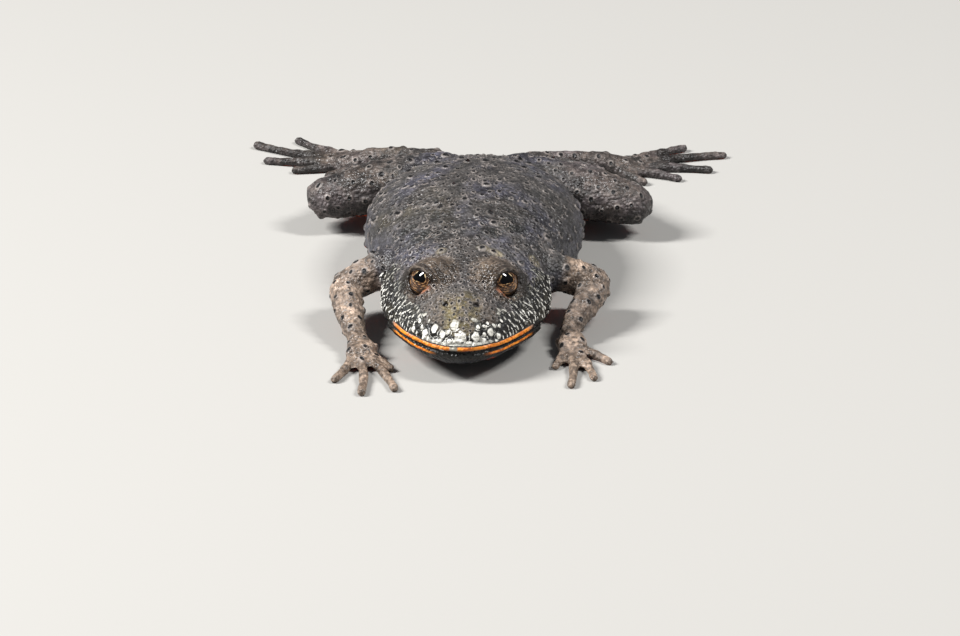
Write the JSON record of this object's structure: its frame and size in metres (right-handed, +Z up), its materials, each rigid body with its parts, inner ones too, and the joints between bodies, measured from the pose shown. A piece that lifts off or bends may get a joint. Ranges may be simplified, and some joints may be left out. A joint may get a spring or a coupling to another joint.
{
  "type": "fire bellied toad",
  "caption": "Still, life-size fire bellied toad resting flat on its belly, with warty grey-brown back, fire-marked underside, spread fingers and folded hind legs.",
  "frame": {"origin": "a point on the flat of the belly on the floor, on the midline, a little in front of its middle", "axes": "+Z up from the floor, -Y the way the toad looks, +X towards the toad's left side"},
  "size_m": [0.0448, 0.0579, 0.0105],
  "materials": {
    "skin": "damp, granular and warty",
    "throat": "damp, smooth, dark with orange blotches",
    "eye": "clear gloss over bronze"
  },
  "bodies": {
    "root": {"head": "skin", "lower_jaw": "throat", "torso": "skin", "eye_left": "eye", "eye_right": "eye", "upper_arm_left": "skin", "forearm_left": "skin", "hand_left": "skin", "upper_arm_right": "skin", "forearm_right": "skin", "hand_right": "skin", "thigh_left": "skin", "shank_left": "skin", "tarsus_left": "skin", "foot_left": "skin", "thigh_right": "skin", "shank_right": "skin", "tarsus_right": "skin", "foot_right": "skin"}
  },
  "joints": []
}
